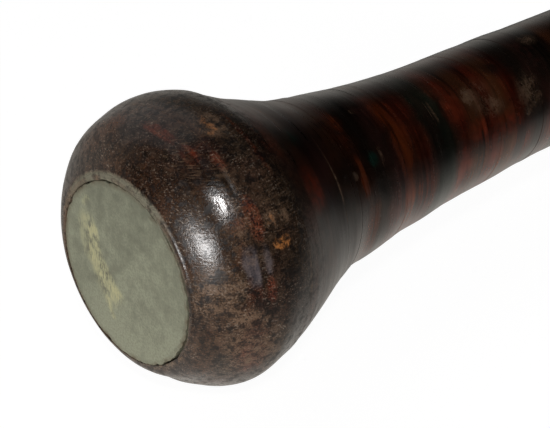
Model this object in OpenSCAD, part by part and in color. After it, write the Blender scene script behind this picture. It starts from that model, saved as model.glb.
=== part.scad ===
// Bat with a round knob, turned from a stack of leather washers that is clamped on a steel rod.
// The axis lies along +X, from the middle of the knob's end face to the barrel's end, and +Z is up.
// All sizes are in millimetres.

/* [Bat] */
// Length over both end faces
bat_length = 840; // [760:5:920]
// Glue between one washer and the next
glue_line = 0.05; // [0.02:0.01:0.1]
// Bevel that wear has left on a washer's outer edges
edge_ease = 0.15; // [0.05:0.05:0.4]

/* [Hides] */
// Thickness of the umber hide
umber_t = 5; // [4:0.5:6]
// Thickness of the oxblood hide
oxblood_t = 4; // [3:0.5:5]
// Thickness of the black hide
black_t = 4.5; // [3.5:0.5:6]
// Thickness of the russet hide
russet_t = 4; // [3:0.5:5]
// Thickness of the bottle green hide
bottle_t = 3.5; // [3:0.5:5]
// Thickness of the plum hide
plum_t = 5; // [4:0.5:6]

/* [Knob] */
// Largest diameter of the knob
knob_d = 50; // [46:1:56]
// Diameter of the knob's flat end face
knob_face_d = 35; // [30:0.5:40]
// Distance from the end face to the knob's largest diameter
knob_crest = 13.4; // [10:0.2:18]
// Distance behind the crest at which the flare has lost half its height
flare_half = 17.5; // [12:0.5:24]
// How sharply the flare falls away, where 2 is a soft bell
flare_power = 1.9; // [1.6:0.1:3]

/* [Handle and barrel] */
// Diameter of the handle
grip_d = 25; // [22:0.5:30]
// Distance from the end face to where the handle starts to swell
taper_start = 240; // [200:5:300]
// Distance from the end face to the full barrel
taper_end = 700; // [620:5:720]
// Diameter of the barrel
barrel_d = 63; // [56:1:70]
// Diameter of the barrel's flat end face
barrel_face_d = 40; // [34:1:50]
// Length of the rounding at the barrel's end
barrel_round = 16; // [10:1:24]

/* [End discs] */
// Thickness of an end disc
disc_t = 3; // [2:0.5:4]
// Bevel around a disc's outer face
disc_bevel = 0.3; // [0.1:0.1:0.6]
// Gap around a disc in the leather
disc_fit = 0.1; // [0.05:0.05:0.2]
// Leather left around the knob's disc where it is thinnest
knob_lip = 0.25; // [0.2:0.05:2]
// How far below the axis the knob's disc was let in
knob_disc_drop = 1.4; // [0:0.1:2]
// Leather left around the barrel's disc
barrel_lip = 3; // [1:0.5:5]

/* [Core] */
// Diameter of the steel rod
rod_d = 8; // [6:0.5:9]
// Bevel at the rod's ends
rod_bevel = 0.8; // [0.4:0.1:1.2]
// Gap around the rod in the leather and the thrust washers
rod_fit = 0.1; // [0.05:0.05:0.3]
// Gap between the rod's thread and a nut's
thread_fit = 0.05; // [0.02:0.01:0.1]
// Free room between a disc and the rod's end
rod_end_gap = 0.8; // [0.5:0.1:1.5]
// Length of rod that stands out of a lock nut
rod_proud = 1; // [0.5:0.1:3]
// Width of a nut across its flats
nut_flats = 13; // [12:0.5:15]
// Thickness of a clamp nut
nut_t = 6.5; // [5:0.5:8]
// Thickness of a lock nut
lock_nut_t = 5; // [3:0.5:6]
// Diameter of a thrust washer
thrust_d = 20; // [18.5:0.5:22]
// Thickness of a thrust washer
thrust_t = 1.6; // [1:0.2:3]
// Gap around a thrust washer in its pocket
pocket_fit = 0.2; // [0.1:0.05:0.4]

/* [Hidden] */
$fn = 96;
// Straight steps that follow the outline across one washer
outline_steps = 4;
// How far a cutting shape runs past the solid that it cuts
cut_over = 1;
// Washers that are nodes of their own, and packs of washers, in each part of the bat
knob_count = 7;
flare_count = 8;
grip_count = 9;
handle_packs = 4;
taper_packs = 13;
barrel_packs = 5;

// Half diameters, and the long half axes of the two end roundings
knob_r = knob_d / 2;
grip_r = grip_d / 2;
barrel_r = barrel_d / 2;
knob_front = knob_crest / sqrt(1 - pow(knob_face_d / knob_d, 2));
barrel_front = barrel_round / sqrt(1 - pow(barrel_face_d / barrel_d, 2));

// The discs fill their end faces as far as the leather around them allows.
knob_disc_d = knob_face_d - 2 * (knob_lip + knob_disc_drop + disc_fit);
barrel_disc_d = barrel_face_d - 2 * (barrel_lip + disc_fit);

// Places along one end of the rod, measured inwards from the end face
rod_end_x = disc_t + rod_end_gap;
lock_nut_x = rod_end_x + rod_proud;
nut_x = lock_nut_x + lock_nut_t;
thrust_x = nut_x + nut_t;
seat_x = thrust_x + thrust_t;

// Holes for the rod in the leather and in the nuts, and the pocket around the nuts
bore_d = rod_d + 2 * rod_fit;
thread_d = rod_d + 2 * thread_fit;
pocket_d = thrust_d + 2 * pocket_fit;

// Hides as colour and thickness, and the order in which their washers are threaded on, over and over
UMBER = [[0.17, 0.11, 0.08], umber_t];
OXBLOOD = [[0.28, 0.08, 0.05], oxblood_t];
BLACK = [[0.06, 0.05, 0.05], black_t];
RUSSET = [[0.40, 0.15, 0.06], russet_t];
BOTTLE = [[0.08, 0.09, 0.07], bottle_t];
PLUM = [[0.15, 0.08, 0.09], plum_t];
THREADED = [
    UMBER, OXBLOOD, BLACK, BLACK, OXBLOOD, UMBER, PLUM, UMBER,
    RUSSET, BLACK, PLUM, RUSSET, OXBLOOD, BOTTLE, BOTTLE, OXBLOOD,
    UMBER, OXBLOOD, UMBER, OXBLOOD, BLACK, PLUM, BLACK, UMBER,
];
STEEL = [0.45, 0.46, 0.47];
TARNISHED = [0.50, 0.50, 0.44];

function hide(i) = THREADED[i % len(THREADED)];

// Free thickness of the stack under each washer, up to the one that reaches the bat's length
free_joints = [for (i = 0, x = 0; x < bat_length + hide(i)[1] / 2; x = x + hide(i)[1], i = i + 1) x];
washer_count = len(free_joints) - 1;
// The stack is drawn up on the rod until it fills the length.
draw_up = bat_length / free_joints[washer_count];
joints = [for (x = free_joints) x * draw_up];

// Names and counts of the single washers from the knob on, and then of the packs
SINGLES = [["knob_washer_", knob_count], ["flare_washer_", flare_count], ["grip_washer_", grip_count]];
PACKS = [["handle_pack_", handle_packs], ["taper_pack_", taper_packs], ["barrel_pack_", barrel_packs]];
single_names = [for (s = SINGLES) for (k = [1:s[1]]) str(s[0], k)];
pack_names = [for (p = PACKS) for (k = [1:p[1]]) str(p[0], k)];

// Number of washers that lie wholly before a distance x
function washers_before(x) = len([for (i = [1:washer_count]) if (joints[i] <= x) i]);
// Washers at which each run of packs starts, and the end of the last run
pack_runs = [len(single_names), washers_before(taper_start), washers_before(taper_end), washer_count];
// First washer of each pack, and then the end of the last pack
pack_firsts = [
    for (p = [0:len(PACKS) - 1])
        for (k = [0:PACKS[p][1] - 1])
            pack_runs[p] + round((pack_runs[p + 1] - pack_runs[p]) * k / PACKS[p][1]),
    washer_count,
];

HARDWARE = [
    "core_rod",
    "knob_disc", "knob_lock_nut", "knob_nut", "knob_thrust_washer",
    "barrel_disc", "barrel_lock_nut", "barrel_nut", "barrel_thrust_washer",
];

// 0 up to a, 1 from b on, and a smooth rise between them
function rise(x, a, b) = let (t = min(1, max(0, (x - a) / (b - a)))) t * t * (3 - 2 * t);

// What the knob and the barrel add to the handle's radius, and an end rounding
function flare_r(x) = (knob_r - grip_r) / (1 + pow(max(0, x - knob_crest) / flare_half, flare_power));
function swell_r(x) = (barrel_r - grip_r) * rise(x, taper_start, taper_end);
function rounding_r(r, past, half_axis) = r * sqrt(1 - pow(past / half_axis, 2));

// Radius of the bat at a distance x from the knob's end face
function bat_r(x) =
    x < knob_crest ? rounding_r(knob_r, knob_crest - x, knob_front)
    : x > bat_length - barrel_round ? rounding_r(barrel_r, x - bat_length + barrel_round, barrel_front)
    : grip_r + flare_r(x) + swell_r(x);

// Half section of washer i, as radius and distance along the axis, with its edges eased at the joints
function washer_section(i) =
    let (first = i == 0, last = i == washer_count - 1)
    let (x0 = joints[i] + (first ? 0 : glue_line / 2), x1 = joints[i + 1] - (last ? 0 : glue_line / 2))
    let (a = x0 + (first ? 0 : edge_ease), b = x1 - (last ? 0 : edge_ease))
    concat(
        [[0, x0]],
        first ? [] : [[bat_r(x0) - edge_ease, x0]],
        [for (k = [0:outline_steps]) let (x = a + (b - a) * k / outline_steps) [bat_r(x), x]],
        last ? [] : [[bat_r(x1) - edge_ease, x1]],
        [[0, x1]]
    );

// Turns what is drawn along +Z so that it runs along +X from a distance x
module along(x = 0) translate([x, 0, 0]) rotate([0, 90, 0]) children();

// A cylinder on the axis between two distances
module round_bar(d, x0, x1) along(x0) cylinder(d = d, h = x1 - x0);

// Brings what is drawn at the knob's end to the barrel's end
module at_barrel() translate([bat_length, 0, 0]) mirror([1, 0, 0]) children();

// Room at one end of the leather: the disc's recess, and the pocket for the nuts behind it
module end_room(disc_d, drop) {
    translate([0, 0, -drop]) round_bar(disc_d + 2 * disc_fit, -cut_over, disc_t);
    round_bar(pocket_d, disc_t - cut_over, seat_x);
}

// All the room inside the leather
module stack_room() {
    round_bar(bore_d, -cut_over, bat_length + cut_over);
    end_room(knob_disc_d, knob_disc_drop);
    at_barrel() end_room(barrel_disc_d, 0);
}

module leather_washer(i) {
    color(hide(i)[0]) difference() {
        along() rotate_extrude() polygon(washer_section(i));
        stack_room();
    }
}

module washer_pack(first, end) {
    for (i = [first:end - 1]) leather_washer(i);
}

module core_rod() {
    plain_l = bat_length - 2 * (rod_end_x + rod_bevel);
    bevelled_d = rod_d - 2 * rod_bevel;
    color(STEEL) along(rod_end_x) {
        cylinder(d1 = bevelled_d, d2 = rod_d, h = rod_bevel);
        translate([0, 0, rod_bevel]) cylinder(d = rod_d, h = plain_l);
        translate([0, 0, rod_bevel + plain_l]) cylinder(d1 = rod_d, d2 = bevelled_d, h = rod_bevel);
    }
}

// A plain disc whose outer face has a bevelled rim
module end_disc(d, drop) {
    color(TARNISHED) translate([0, 0, -drop]) along() {
        cylinder(d1 = d - 2 * disc_bevel, d2 = d, h = disc_bevel);
        translate([0, 0, disc_bevel]) cylinder(d = d, h = disc_t - disc_bevel);
    }
}

module hex_nut(x, t) {
    color(STEEL) difference() {
        along(x) cylinder(d = nut_flats / cos(30), h = t, $fn = 6);
        round_bar(thread_d, x - cut_over, x + t + cut_over);
    }
}

module lock_nut() hex_nut(lock_nut_x, lock_nut_t);

module clamp_nut() hex_nut(nut_x, nut_t);

module thrust_washer() {
    color(STEEL) difference() {
        round_bar(thrust_d, thrust_x, seat_x);
        round_bar(bore_d, thrust_x - cut_over, seat_x + cut_over);
    }
}

core_rod();
end_disc(knob_disc_d, knob_disc_drop);  // knob_disc
lock_nut();  // knob_lock_nut
clamp_nut();  // knob_nut
thrust_washer();  // knob_thrust_washer
at_barrel() end_disc(barrel_disc_d, 0);  // barrel_disc
at_barrel() lock_nut();  // barrel_lock_nut
at_barrel() clamp_nut();  // barrel_nut
at_barrel() thrust_washer();  // barrel_thrust_washer
for (i = [0:len(single_names) - 1])
    leather_washer(i);
for (k = [0:len(pack_names) - 1])
    washer_pack(pack_firsts[k], pack_firsts[k + 1]);
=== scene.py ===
import bisect
import math

import bmesh
import bpy
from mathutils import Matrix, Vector, noise


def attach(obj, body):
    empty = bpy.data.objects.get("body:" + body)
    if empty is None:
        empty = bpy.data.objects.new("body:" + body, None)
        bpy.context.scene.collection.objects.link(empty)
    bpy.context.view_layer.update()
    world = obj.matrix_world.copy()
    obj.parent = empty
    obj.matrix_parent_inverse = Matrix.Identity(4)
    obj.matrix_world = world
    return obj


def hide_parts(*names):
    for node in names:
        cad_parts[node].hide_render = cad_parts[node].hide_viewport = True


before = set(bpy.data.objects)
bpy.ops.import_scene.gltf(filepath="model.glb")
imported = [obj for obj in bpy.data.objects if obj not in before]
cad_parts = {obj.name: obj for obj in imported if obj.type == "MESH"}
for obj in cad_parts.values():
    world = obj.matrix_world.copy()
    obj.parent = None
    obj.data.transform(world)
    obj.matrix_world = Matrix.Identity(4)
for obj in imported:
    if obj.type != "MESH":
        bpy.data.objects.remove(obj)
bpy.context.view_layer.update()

bl_info = {
    "name": "Stacked leather bat",
    "version": (1, 0, 0),
    "blender": (4, 5, 0),
    "location": "View3D > Sidebar > Bat",
    "description": "Builds a bat turned from leather washers around its packed CAD model",
    "category": "Mesh",
}

MM = 0.001
BODY = "root"
# Length along the axis over which a worn arris runs out
ROUNDING = 2.4 * MM
# How far in from an end face the points of its lip and of its arris lie
LIP_DEPTH, ARRIS_DEPTH = 0.6 * MM, 0.9 * MM
# Depth from the knob's end face over which its lip is moved along with its disc
LIP_MOVED = (0.1 * MM, 4.8 * MM)
# How far the wall of a recess may lie from where it is looked for
NEAR = 0.2 * MM
# How far the rim of the knob's recess strays
RIM_STRAY = 0.16 * MM
# Way in which the knob's arris is worn back, along the axis and away from it
ARRIS_NORMAL = (-0.7, 0.4)
# Distance from the knob's end face up to which the leather has marks of its own
MARKED = 110 * MM
# Stretch along which the gloss and the old varnish of the handle give way to the duller taper
DULLER = (110 * MM, 200 * MM)
# Arcs in which a section is spun round, since one long spin is slow
ARCS = 16
# Distance within which points that lie on each other are joined
WELD = 2e-6
# Angle from which an edge stays sharp
SHARP = math.radians(55)
DISC_RINGS, DISC_TURNS = 34, 224
WHITE = (1.0, 1.0, 1.0, 1.0)
# Where the camera stands, what it looks at, and the width of its sensor in millimetres
EYE, AIM, SENSOR = Vector((-0.1113, -0.1508, 0.1115)), Vector((0.0400, 0.0074, -0.0083)), 36.0
HIDES = ("umber", "oxblood", "black", "russet", "bottle_green", "plum")
UMBER, OXBLOOD, BLACK, RUSSET, BOTTLE, PLUM = range(6)
# The order in which the hides are threaded on the rod, over and over
THREADED = (
    UMBER, OXBLOOD, BLACK, BLACK, OXBLOOD, UMBER, PLUM, UMBER,
    RUSSET, BLACK, PLUM, RUSSET, OXBLOOD, BOTTLE, BOTTLE, OXBLOOD,
    UMBER, OXBLOOD, UMBER, OXBLOOD, BLACK, PLUM, BLACK, UMBER,
)
# Washers that are a piece each: name, number, length of a face along the bat and number of faces round it
SINGLES = (
    ("knob_washer_", 7, 0.3 * MM, 560),
    ("flare_washer_", 8, 0.4 * MM, 368),
    ("grip_washer_", 9, 0.4 * MM, 304),
)
# Packs of washers: name and number, and the faces of all of them
PACKS = (("handle_pack_", 4), ("taper_pack_", 13), ("barrel_pack_", 5))
PACK_MESH = (0.9 * MM, 128)
INNER_STEEL = (
    "core_rod", "knob_lock_nut", "knob_nut", "knob_thrust_washer",
    "barrel_lock_nut", "barrel_nut", "barrel_thrust_washer",
)


def length(name, description, mm):
    """A length that a user may change, with its default in millimetres."""
    return bpy.props.FloatProperty(
        name=name, description=description, default=mm * MM, min=0.0,
        subtype="DISTANCE", unit="LENGTH", precision=5,
    )


def colour(name, description, rgb):
    """A colour that a user may change."""
    return bpy.props.FloatVectorProperty(
        name=name, description=description, default=rgb, min=0.0, max=1.0, size=3, subtype="COLOR"
    )


def factor(name, description, default):
    """A strength from 0 up that a user may change."""
    return bpy.props.FloatProperty(
        name=name, description=description, default=default, min=0.0, soft_max=2.0, subtype="FACTOR"
    )


def power(name, description, watts):
    """The power of a lamp that a user may change."""
    return bpy.props.FloatProperty(name=name, description=description, default=watts, min=0.0, unit="POWER")


class BatOutline(bpy.types.PropertyGroup):
    """Sizes of the turned outline"""

    bat_length: length("Length", "Length over both end faces", 840)
    knob_d: length("Knob", "Largest diameter of the knob", 50)
    knob_face_d: length("Knob face", "Diameter of the knob's end face", 35)
    knob_crest: length("Knob crest", "Distance from the end face to the knob's largest diameter", 13.4)
    flare_half: length("Flare", "Distance behind the crest at which the flare has lost half its height", 17.5)
    flare_power: bpy.props.FloatProperty(
        name="Flare fall", description="How sharply the flare falls away", default=1.9, min=1.2, max=4.0
    )
    grip_d: length("Handle", "Diameter of the handle", 25)
    taper_start: length("Taper start", "Distance from the end face to where the handle starts to swell", 240)
    taper_end: length("Taper end", "Distance from the end face to the full barrel", 700)
    barrel_d: length("Barrel", "Diameter of the barrel", 63)
    barrel_face_d: length("Barrel face", "Diameter of the barrel's end face", 40)
    barrel_round: length("Barrel rounding", "Length of the rounding at the barrel's end", 16)
    arris: length("Worn arris", "How far the arris of an end face is worn back", 1.0)


class BatHides(bpy.types.PropertyGroup):
    """Thickness and colour of each hide"""

    umber_t: length("Umber thickness", "Thickness of an umber washer", 5)
    umber: colour("Umber", "Colour of the umber hide", (0.034, 0.0105, 0.0038))
    oxblood_t: length("Oxblood thickness", "Thickness of an oxblood washer", 4)
    oxblood: colour("Oxblood", "Colour of the oxblood hide", (0.050, 0.007, 0.0025))
    black_t: length("Black thickness", "Thickness of a black washer", 4.5)
    black: colour("Black", "Colour of the black hide", (0.010, 0.006, 0.004))
    russet_t: length("Russet thickness", "Thickness of a russet washer", 4)
    russet: colour("Russet", "Colour of the russet hide", (0.050, 0.0095, 0.002))
    bottle_green_t: length("Bottle green thickness", "Thickness of a bottle green washer", 3.5)
    bottle_green: colour("Bottle green", "Colour of the bottle green hide", (0.005, 0.007, 0.0045))
    plum_t: length("Plum thickness", "Thickness of a plum washer", 5)
    plum: colour("Plum", "Colour of the plum hide", (0.027, 0.0085, 0.0065))
    glue_line: length("Glue line", "Gap that the glue fills between two washers", 0.02)
    raw: colour("Raw leather", "Colour where the dyed skin is torn off", (0.40, 0.15, 0.04))
    rubbed: colour("Rubbed leather", "Colour where the dye is rubbed thin", (0.19, 0.115, 0.070))
    # The flecks are partly dust and scuffs and partly painted glints on the grain's high points.
    fleck_and_glint: colour("Flecks", "Colour of the pale flecks on the high points of the grain", (0.34, 0.275, 0.215))
    dust: colour("Dust", "Colour of the dust on the lip around the knob's disc", (0.20, 0.185, 0.13))
    # The bruise's lilac grey is partly a bloom on the skin and partly a painted sheen of its dent.
    bruise_and_sheen: colour("Bruise", "Colour of the bruised skin", (0.075, 0.066, 0.074))
    verdigris: colour("Green stain", "Colour of the small green stains", (0.003, 0.016, 0.011))
    varnish: colour("Old varnish", "Colour of the dark patches of old varnish", (0.008, 0.0045, 0.003))


class BatWear(bpy.types.PropertyGroup):
    """How worn the leather is"""

    bleed: length("Bleed", "How far the dye of one washer runs into the next", 1.6)
    ragged: length("Ragged dye", "How far the border between two dyes strays from the joint", 1.9)
    edge_ease: length("Edge ease", "Rounding of a washer's edges at the joints", 0.09)
    out_of_round: length("Out of round", "How far the turned surface strays from a true round", 0.14)
    lumps: length("Lumps", "Height of the small lumps in the skin", 0.045)
    steps: length("Steps", "How far one washer stands proud of the next", 0.05)
    rubbing: factor("Rubbing", "Strength of the rubbed places", 1.0)
    grain: factor("Grain", "Depth of the leather's grain", 1.0)


class BatDiscs(bpy.types.PropertyGroup):
    """Sizes and colours of the end discs"""

    disc_t: length("Thickness", "Thickness of a disc", 3)
    disc_fit: length("Fit", "Gap around a disc in the leather", 0.1)
    disc_bevel: length("Bevel", "Bevel around a disc's outer face", 0.14)
    knob_lip: length("Knob lip", "Leather left around the knob's disc where it is thinnest", 0.25)
    knob_drop: length("Knob drop", "How far below the axis the knob's disc was let in", 1.4)
    knob_side: length("Knob side", "How far to one side of the axis the knob's disc was let in", 0.35)
    barrel_lip: length("Barrel lip", "Leather left around the barrel's disc", 3)
    tarnish: colour("Tarnish", "Colour of the dull metal", (0.283, 0.288, 0.206))
    scrape: colour("Scrape", "Colour of the metal where it is scraped", (0.58, 0.55, 0.31))
    stain: colour("Stain", "Colour of the stained metal in a scrape", (0.13, 0.105, 0.07))
    dirt: colour("Dirt", "Colour of the dirt around a disc's edge", (0.15, 0.12, 0.075))


class BatCore(bpy.types.PropertyGroup):
    """Sizes and colour of the steel inside"""

    rod_d: length("Rod", "Diameter of the steel rod", 8)
    rod_fit: length("Rod fit", "Gap around the rod in the leather", 0.1)
    pocket_d: length("Pocket", "Diameter of the pocket around the nuts", 20.4)
    seat: length("Seat", "Depth of the pocket from the end face", 17.9)
    steel: colour("Steel", "Colour of the rod, nuts and thrust washers", (0.42, 0.43, 0.44))


class BatStage(bpy.types.PropertyGroup):
    """Lamps, floor and camera"""

    floor: colour("Floor", "Colour of the floor", (0.80, 0.80, 0.80))
    # Warm tint of the painted pool of light and glow that the floor shows in reflections
    painted_glow_tint: colour("Table", "Colour of the floor as the varnish mirrors it", (1.0, 0.95, 0.87))
    shadow: colour("Shadow", "Colour that the lamps find on the floor in view", (0.22, 0.22, 0.22))
    dim: colour("Dim floor", "Colour that the lamps find on the floor in reflections", (0.03, 0.03, 0.03))
    room: colour("Room", "Dim light of the room around the stage", (0.018, 0.018, 0.018))
    softbox: power("Softbox", "Power of the lamp at the knob's end", 6.0)
    headlight: power("Small lamp", "Power of the small lamp above the camera", 1.15)
    back_light: power("Back lamp", "Power of the wide lamp behind the bat", 3.8)
    barrel_light: power("Barrel lamp", "Power of the wide lamp over the barrel", 3.6)
    lens: length("Lens", "Focal length of the camera", 89.26)


def rise(x, a, b):
    """0 up to a, 1 from b on, and a smooth rise between them."""
    t = min(1.0, max(0.0, (x - a) / (b - a)))
    return t * t * (3 - 2 * t)


class Stack:
    """The stack of washers: its outline, its joints and the room inside it, in metres."""

    def __init__(self, scene):
        o, h, d, c = scene.bat_outline, scene.bat_hides, scene.bat_discs, scene.bat_core
        self.length = o.bat_length
        self.knob_r, self.grip_r, self.barrel_r = o.knob_d / 2, o.grip_d / 2, o.barrel_d / 2
        self.knob_face_r, self.barrel_face_r = o.knob_face_d / 2, o.barrel_face_d / 2
        self.knob_crest, self.barrel_round = o.knob_crest, o.barrel_round
        self.knob_front = o.knob_crest / math.sqrt(1 - (o.knob_face_d / o.knob_d) ** 2)
        self.barrel_front = o.barrel_round / math.sqrt(1 - (o.barrel_face_d / o.barrel_d) ** 2)
        self.flare_half, self.flare_power = o.flare_half, o.flare_power
        self.taper_start, self.taper_end = o.taper_start, o.taper_end
        self.glue, self.disc_t = h.glue_line, d.disc_t
        self.knob_recess_r = self.knob_face_r - d.knob_lip - d.knob_drop
        self.knob_shift = Vector((0, d.knob_side, -d.knob_drop))
        self.knob_arris, self.barrel_arris = self.knob_face_r - o.arris, self.barrel_face_r - o.arris
        self.barrel_recess_r = self.barrel_face_r - d.barrel_lip
        bore_r = c.rod_d / 2 + c.rod_fit
        end = self.length
        self.room = (
            (0, d.disc_t, self.knob_recess_r),
            (d.disc_t, c.seat, c.pocket_d / 2),
            (c.seat, end - c.seat, bore_r),
            (end - c.seat, end - d.disc_t, c.pocket_d / 2),
            (end - d.disc_t, end, self.barrel_recess_r),
        )
        thick = [getattr(h, f"{name}_t") for name in HIDES]
        joints = [0.0]
        while joints[-1] + thick[self.hide(len(joints) - 1)] / 2 < self.length:
            joints.append(joints[-1] + thick[self.hide(len(joints) - 1)])
        draw_up = self.length / joints[-1]
        self.joints = [x * draw_up for x in joints]
        self.count = len(joints) - 1

    def hide(self, i):
        return THREADED[i % len(THREADED)]

    def radius(self, x):
        """Radius of the bat at a distance x from the knob's end face."""
        if x < self.knob_crest:
            return self.knob_r * math.sqrt(1 - ((self.knob_crest - x) / self.knob_front) ** 2)
        past = x - self.length + self.barrel_round
        if past > 0:
            return self.barrel_r * math.sqrt(1 - (past / self.barrel_front) ** 2)
        fall = 1 + ((x - self.knob_crest) / self.flare_half) ** self.flare_power
        swell = (self.barrel_r - self.grip_r) * rise(x, self.taper_start, self.taper_end)
        return self.grip_r + (self.knob_r - self.grip_r) / fall + swell

    def normal(self, x):
        """Outward normal of the outline, along the axis and away from it."""
        a, b = max(0.0, x - 0.1 * MM), min(self.length, x + 0.1 * MM)
        slope = (self.radius(b) - self.radius(a)) / (b - a)
        size = math.hypot(1, slope)
        return -slope / size, 1 / size

    def washers_before(self, x):
        return bisect.bisect_right(self.joints, x) - 1

    def across(self, i, x):
        """Share of the way from the near side of washer i to its far side."""
        return (x - self.joints[i]) / (self.joints[i + 1] - self.joints[i])

    def seat(self, i, x):
        """The joint of washer i that is nearer to x."""
        return i if self.across(i, x) < 0.5 else i + 1

    def dye(self, colours, x, bleed):
        """Colour of the dye at a distance x, with the dyes of two washers run together at their joint."""
        i = min(self.count - 1, max(0, self.washers_before(x)))
        own, start, end = colours[self.hide(i)], self.joints[i], self.joints[i + 1]
        if i > 0 and x - start < bleed:
            return colours[self.hide(i - 1)].lerp(own, 0.5 + 0.5 * rise(x, start, start + bleed))
        if i < self.count - 1 and end - x < bleed:
            return own.lerp(colours[self.hide(i + 1)], 0.5 * rise(x, end - bleed, end))
        return own

    def packs(self):
        """Name, first washer and end of each pack of washers."""
        singles = sum(count for _, count, *_ in SINGLES)
        bends = [self.washers_before(x) for x in (self.taper_start, self.taper_end)]
        runs = (singles, *bends, self.count)
        firsts, names = [], []
        for (name, n), start, end in zip(PACKS, runs, runs[1:]):
            firsts += [start + math.floor((end - start) * k / n + 0.5) for k in range(n)]
            names += [f"{name}{k + 1}" for k in range(n)]
        return list(zip(names, firsts, firsts[1:] + [self.count]))


def side_points(stack, x, toward, ease):
    """Points up a washer's flat side to its eased edge: distance, radius, skin and edge shares."""
    points = (
        (0.0, 1.4 * MM, 0.0, 0.0), (0.0, 0.7 * MM, 0.3, 1.0), (0.0, ease, 1.0, 1.0),
        (0.12 * ease, 0.55 * ease, 1.0, 0.55), (0.45 * ease, 0.14 * ease, 1.0, 0.14),
    )
    places = [x + toward * along for along, *_ in points]
    return [(at, stack.radius(at) - down, *shares) for at, (_, down, *shares) in zip(places, points)]


def face_points(stack, x, toward, recess_r, arris):
    """Points across an end face: up the recess, over the flat lip to its arris, and on to the side."""
    wide = arris - recess_r
    worn_back = stack.radius(x) - arris
    wall = ((1.2, 0.0, 0.0), (0.45, 0.01, 0.3), (0.16, 0.04, 0.6), (0.05, 0.10, 1.0))
    lip = [(0.0, 0.16 * k) for k in range(1, 6)] + [(0.02, 0.92), (0.07, 0.99), (0.16, 1.04)]
    points = [(x + toward * depth * MM, recess_r + out * MM, skin, 0.0) for depth, out, skin in wall]
    points += [(x + toward * depth * MM, recess_r + out * wide, 1.0, 0.0) for depth, out in lip]
    for depth in (0.30, 0.50, 0.75, 1.0, 1.4, 1.9):
        at = x + toward * depth * MM
        points.append((at, stack.radius(at) - worn_back * (1 - depth * MM / ROUNDING) ** 2, 1.0, 0.0))
    return points


def washer_section(stack, i, ease, step):
    """Closed half section of washer i: distance, radius, skin share and edge share of each point."""
    first, last = i == 0, i == stack.count - 1
    x0 = stack.joints[i] + (0 if first else stack.glue / 2)
    x1 = stack.joints[i + 1] - (0 if last else stack.glue / 2)
    if first:
        near, a = face_points(stack, x0, 1, stack.knob_recess_r, stack.knob_arris), x0 + ROUNDING
    else:
        near, a = side_points(stack, x0, 1, ease), x0 + ease
    if last:
        far, b = face_points(stack, x1, -1, stack.barrel_recess_r, stack.barrel_arris), x1 - ROUNDING
    else:
        far, b = side_points(stack, x1, -1, ease), x1 - ease
    n = max(3, round((b - a) / step))
    places = [a + (b - a) * k / n for k in range(n + 1)]
    skin = [(at, stack.radius(at), 1.0, 0.0) for at in places]
    inside = []
    for start, end, r in reversed(stack.room):
        if start < x1 and end > x0:
            inside += [(min(end, x1), r, 0.0, 0.0), (max(start, x0), r, 0.0, 0.0)]
    # The recess walls are in the face points already.
    if last:
        inside = inside[1:]
    if first:
        inside = inside[:-1]
    return near + skin + far[::-1] + inside


def spin_washers(bm, layers, stack, washers, ease, step, turns):
    """Spins the sections of some washers round the axis into closed rings."""
    verts, edges = [], []
    for i in washers:
        ring = []
        for x, r, skin, edge in washer_section(stack, i, ease, step):
            v = bm.verts.new((x, 0, r))
            v[layers["washer"]], v[layers["skin"]], v[layers["edge"]] = i, skin, edge
            ring.append(v)
        edges += [bm.edges.new(pair) for pair in zip(ring, ring[1:] + ring[:1])]
        verts += ring
    full_turn(bm, verts + edges, turns)


def full_turn(bm, section, turns):
    """Spins a section once round the X axis, one arc first and then copies of it, and closes the seams."""
    axis = {"cent": (0, 0, 0), "axis": (1, 0, 0)}
    arc = 2 * math.pi / ARCS
    bmesh.ops.spin(bm, geom=section, angle=arc, steps=turns // ARCS, **axis)
    arc_parts = bm.verts[:] + bm.edges[:] + bm.faces[:]
    bmesh.ops.spin(
        bm, geom=arc_parts, angle=2 * math.pi - arc, steps=ARCS - 1, use_duplicate=True, **axis
    )
    bmesh.ops.remove_doubles(bm, verts=bm.verts, dist=WELD)


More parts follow.
